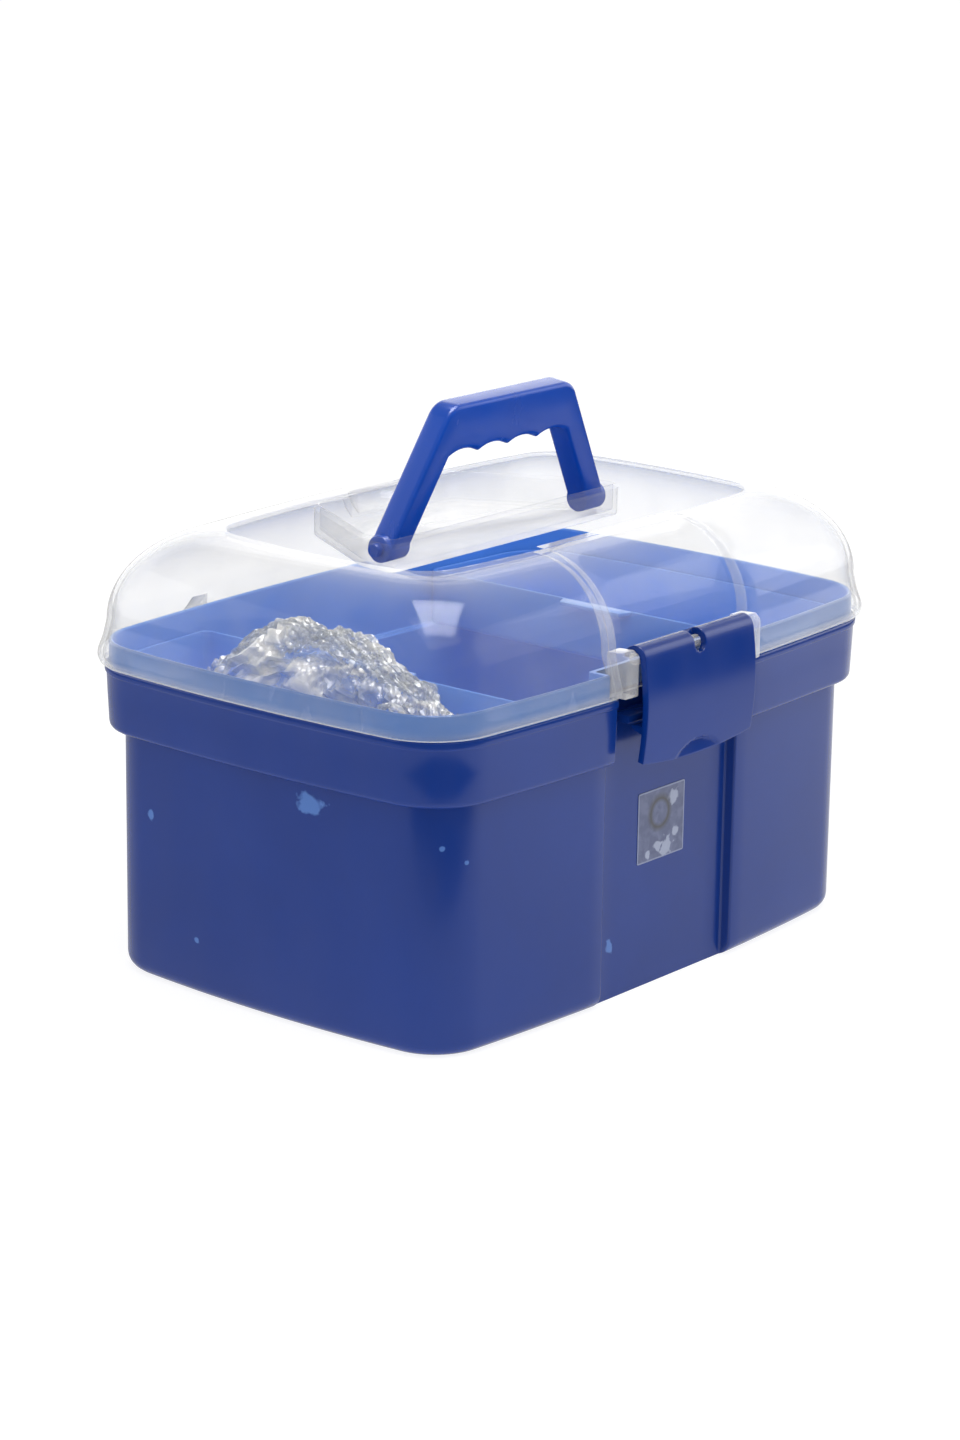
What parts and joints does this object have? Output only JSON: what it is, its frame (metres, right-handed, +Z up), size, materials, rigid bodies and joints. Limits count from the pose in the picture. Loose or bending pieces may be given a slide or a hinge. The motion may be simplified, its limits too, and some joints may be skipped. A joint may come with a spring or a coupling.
{
  "type": "sewing box",
  "caption": "Sewing box: blue tub with a clear domed hinged lid, snap latch, folding carry handle and two lift-out end trays holding a film pouch.",
  "frame": {"origin": "centre of the box's overall footprint, on the surface it stands on", "axes": "+Z up, X along the length, the latch on -Y and the hinge on +Y"},
  "size_m": [0.3226, 0.2333, 0.2489],
  "materials": {
    "tub_blue": "glossy moulded polypropylene, deep blue",
    "lid_clear": "clear, slightly milky moulded plastic",
    "latch_blue": "glossy moulded plastic, darker blue",
    "handle_blue": "satin moulded plastic, bright blue",
    "pin_steel": "drawn steel wire",
    "tray_blue": "moulded polypropylene, mid blue",
    "label_film": null,
    "pouch_film": "thin clear crumpled film"
  },
  "bodies": {
    "box": {"tub": "tub_blue", "label": "label_film", "hinge_pin_left": "pin_steel", "hinge_pin_right": "pin_steel"},
    "lid": {"lid": "lid_clear"},
    "latch": {"latch": "latch_blue"},
    "handle": {"handle": "handle_blue"},
    "left_tray": {"left_tray": "tray_blue", "film_pouch": "pouch_film"},
    "right_tray": {"right_tray": "tray_blue"}
  },
  "joints": [
    {"name": "lid_hinge", "type": "hinge", "parent": "box", "child": "lid", "pos_m": [0, 0.1137, 0.141], "axis": [-1, 0, 0], "range_deg": [0, 105]},
    {"name": "latch_pivot", "type": "hinge", "parent": "lid", "child": "latch", "pos_m": [0, -0.10896, 0.1545], "axis": [-1, 0, 0], "range_deg": [0, 100]},
    {"name": "handle_fold", "type": "hinge", "parent": "lid", "child": "handle", "pos_m": [0, 0.001, 0.1898], "axis": [-1, 0, 0], "range_deg": [0, 96.5]},
    {"name": "left_tray_lift", "type": "slide", "parent": "box", "child": "left_tray", "axis": [0, 0, 1], "range_m": [0, 0.024]},
    {"name": "right_tray_lift", "type": "slide", "parent": "box", "child": "right_tray", "axis": [0, 0, 1], "range_m": [0, 0.024]}
  ]
}
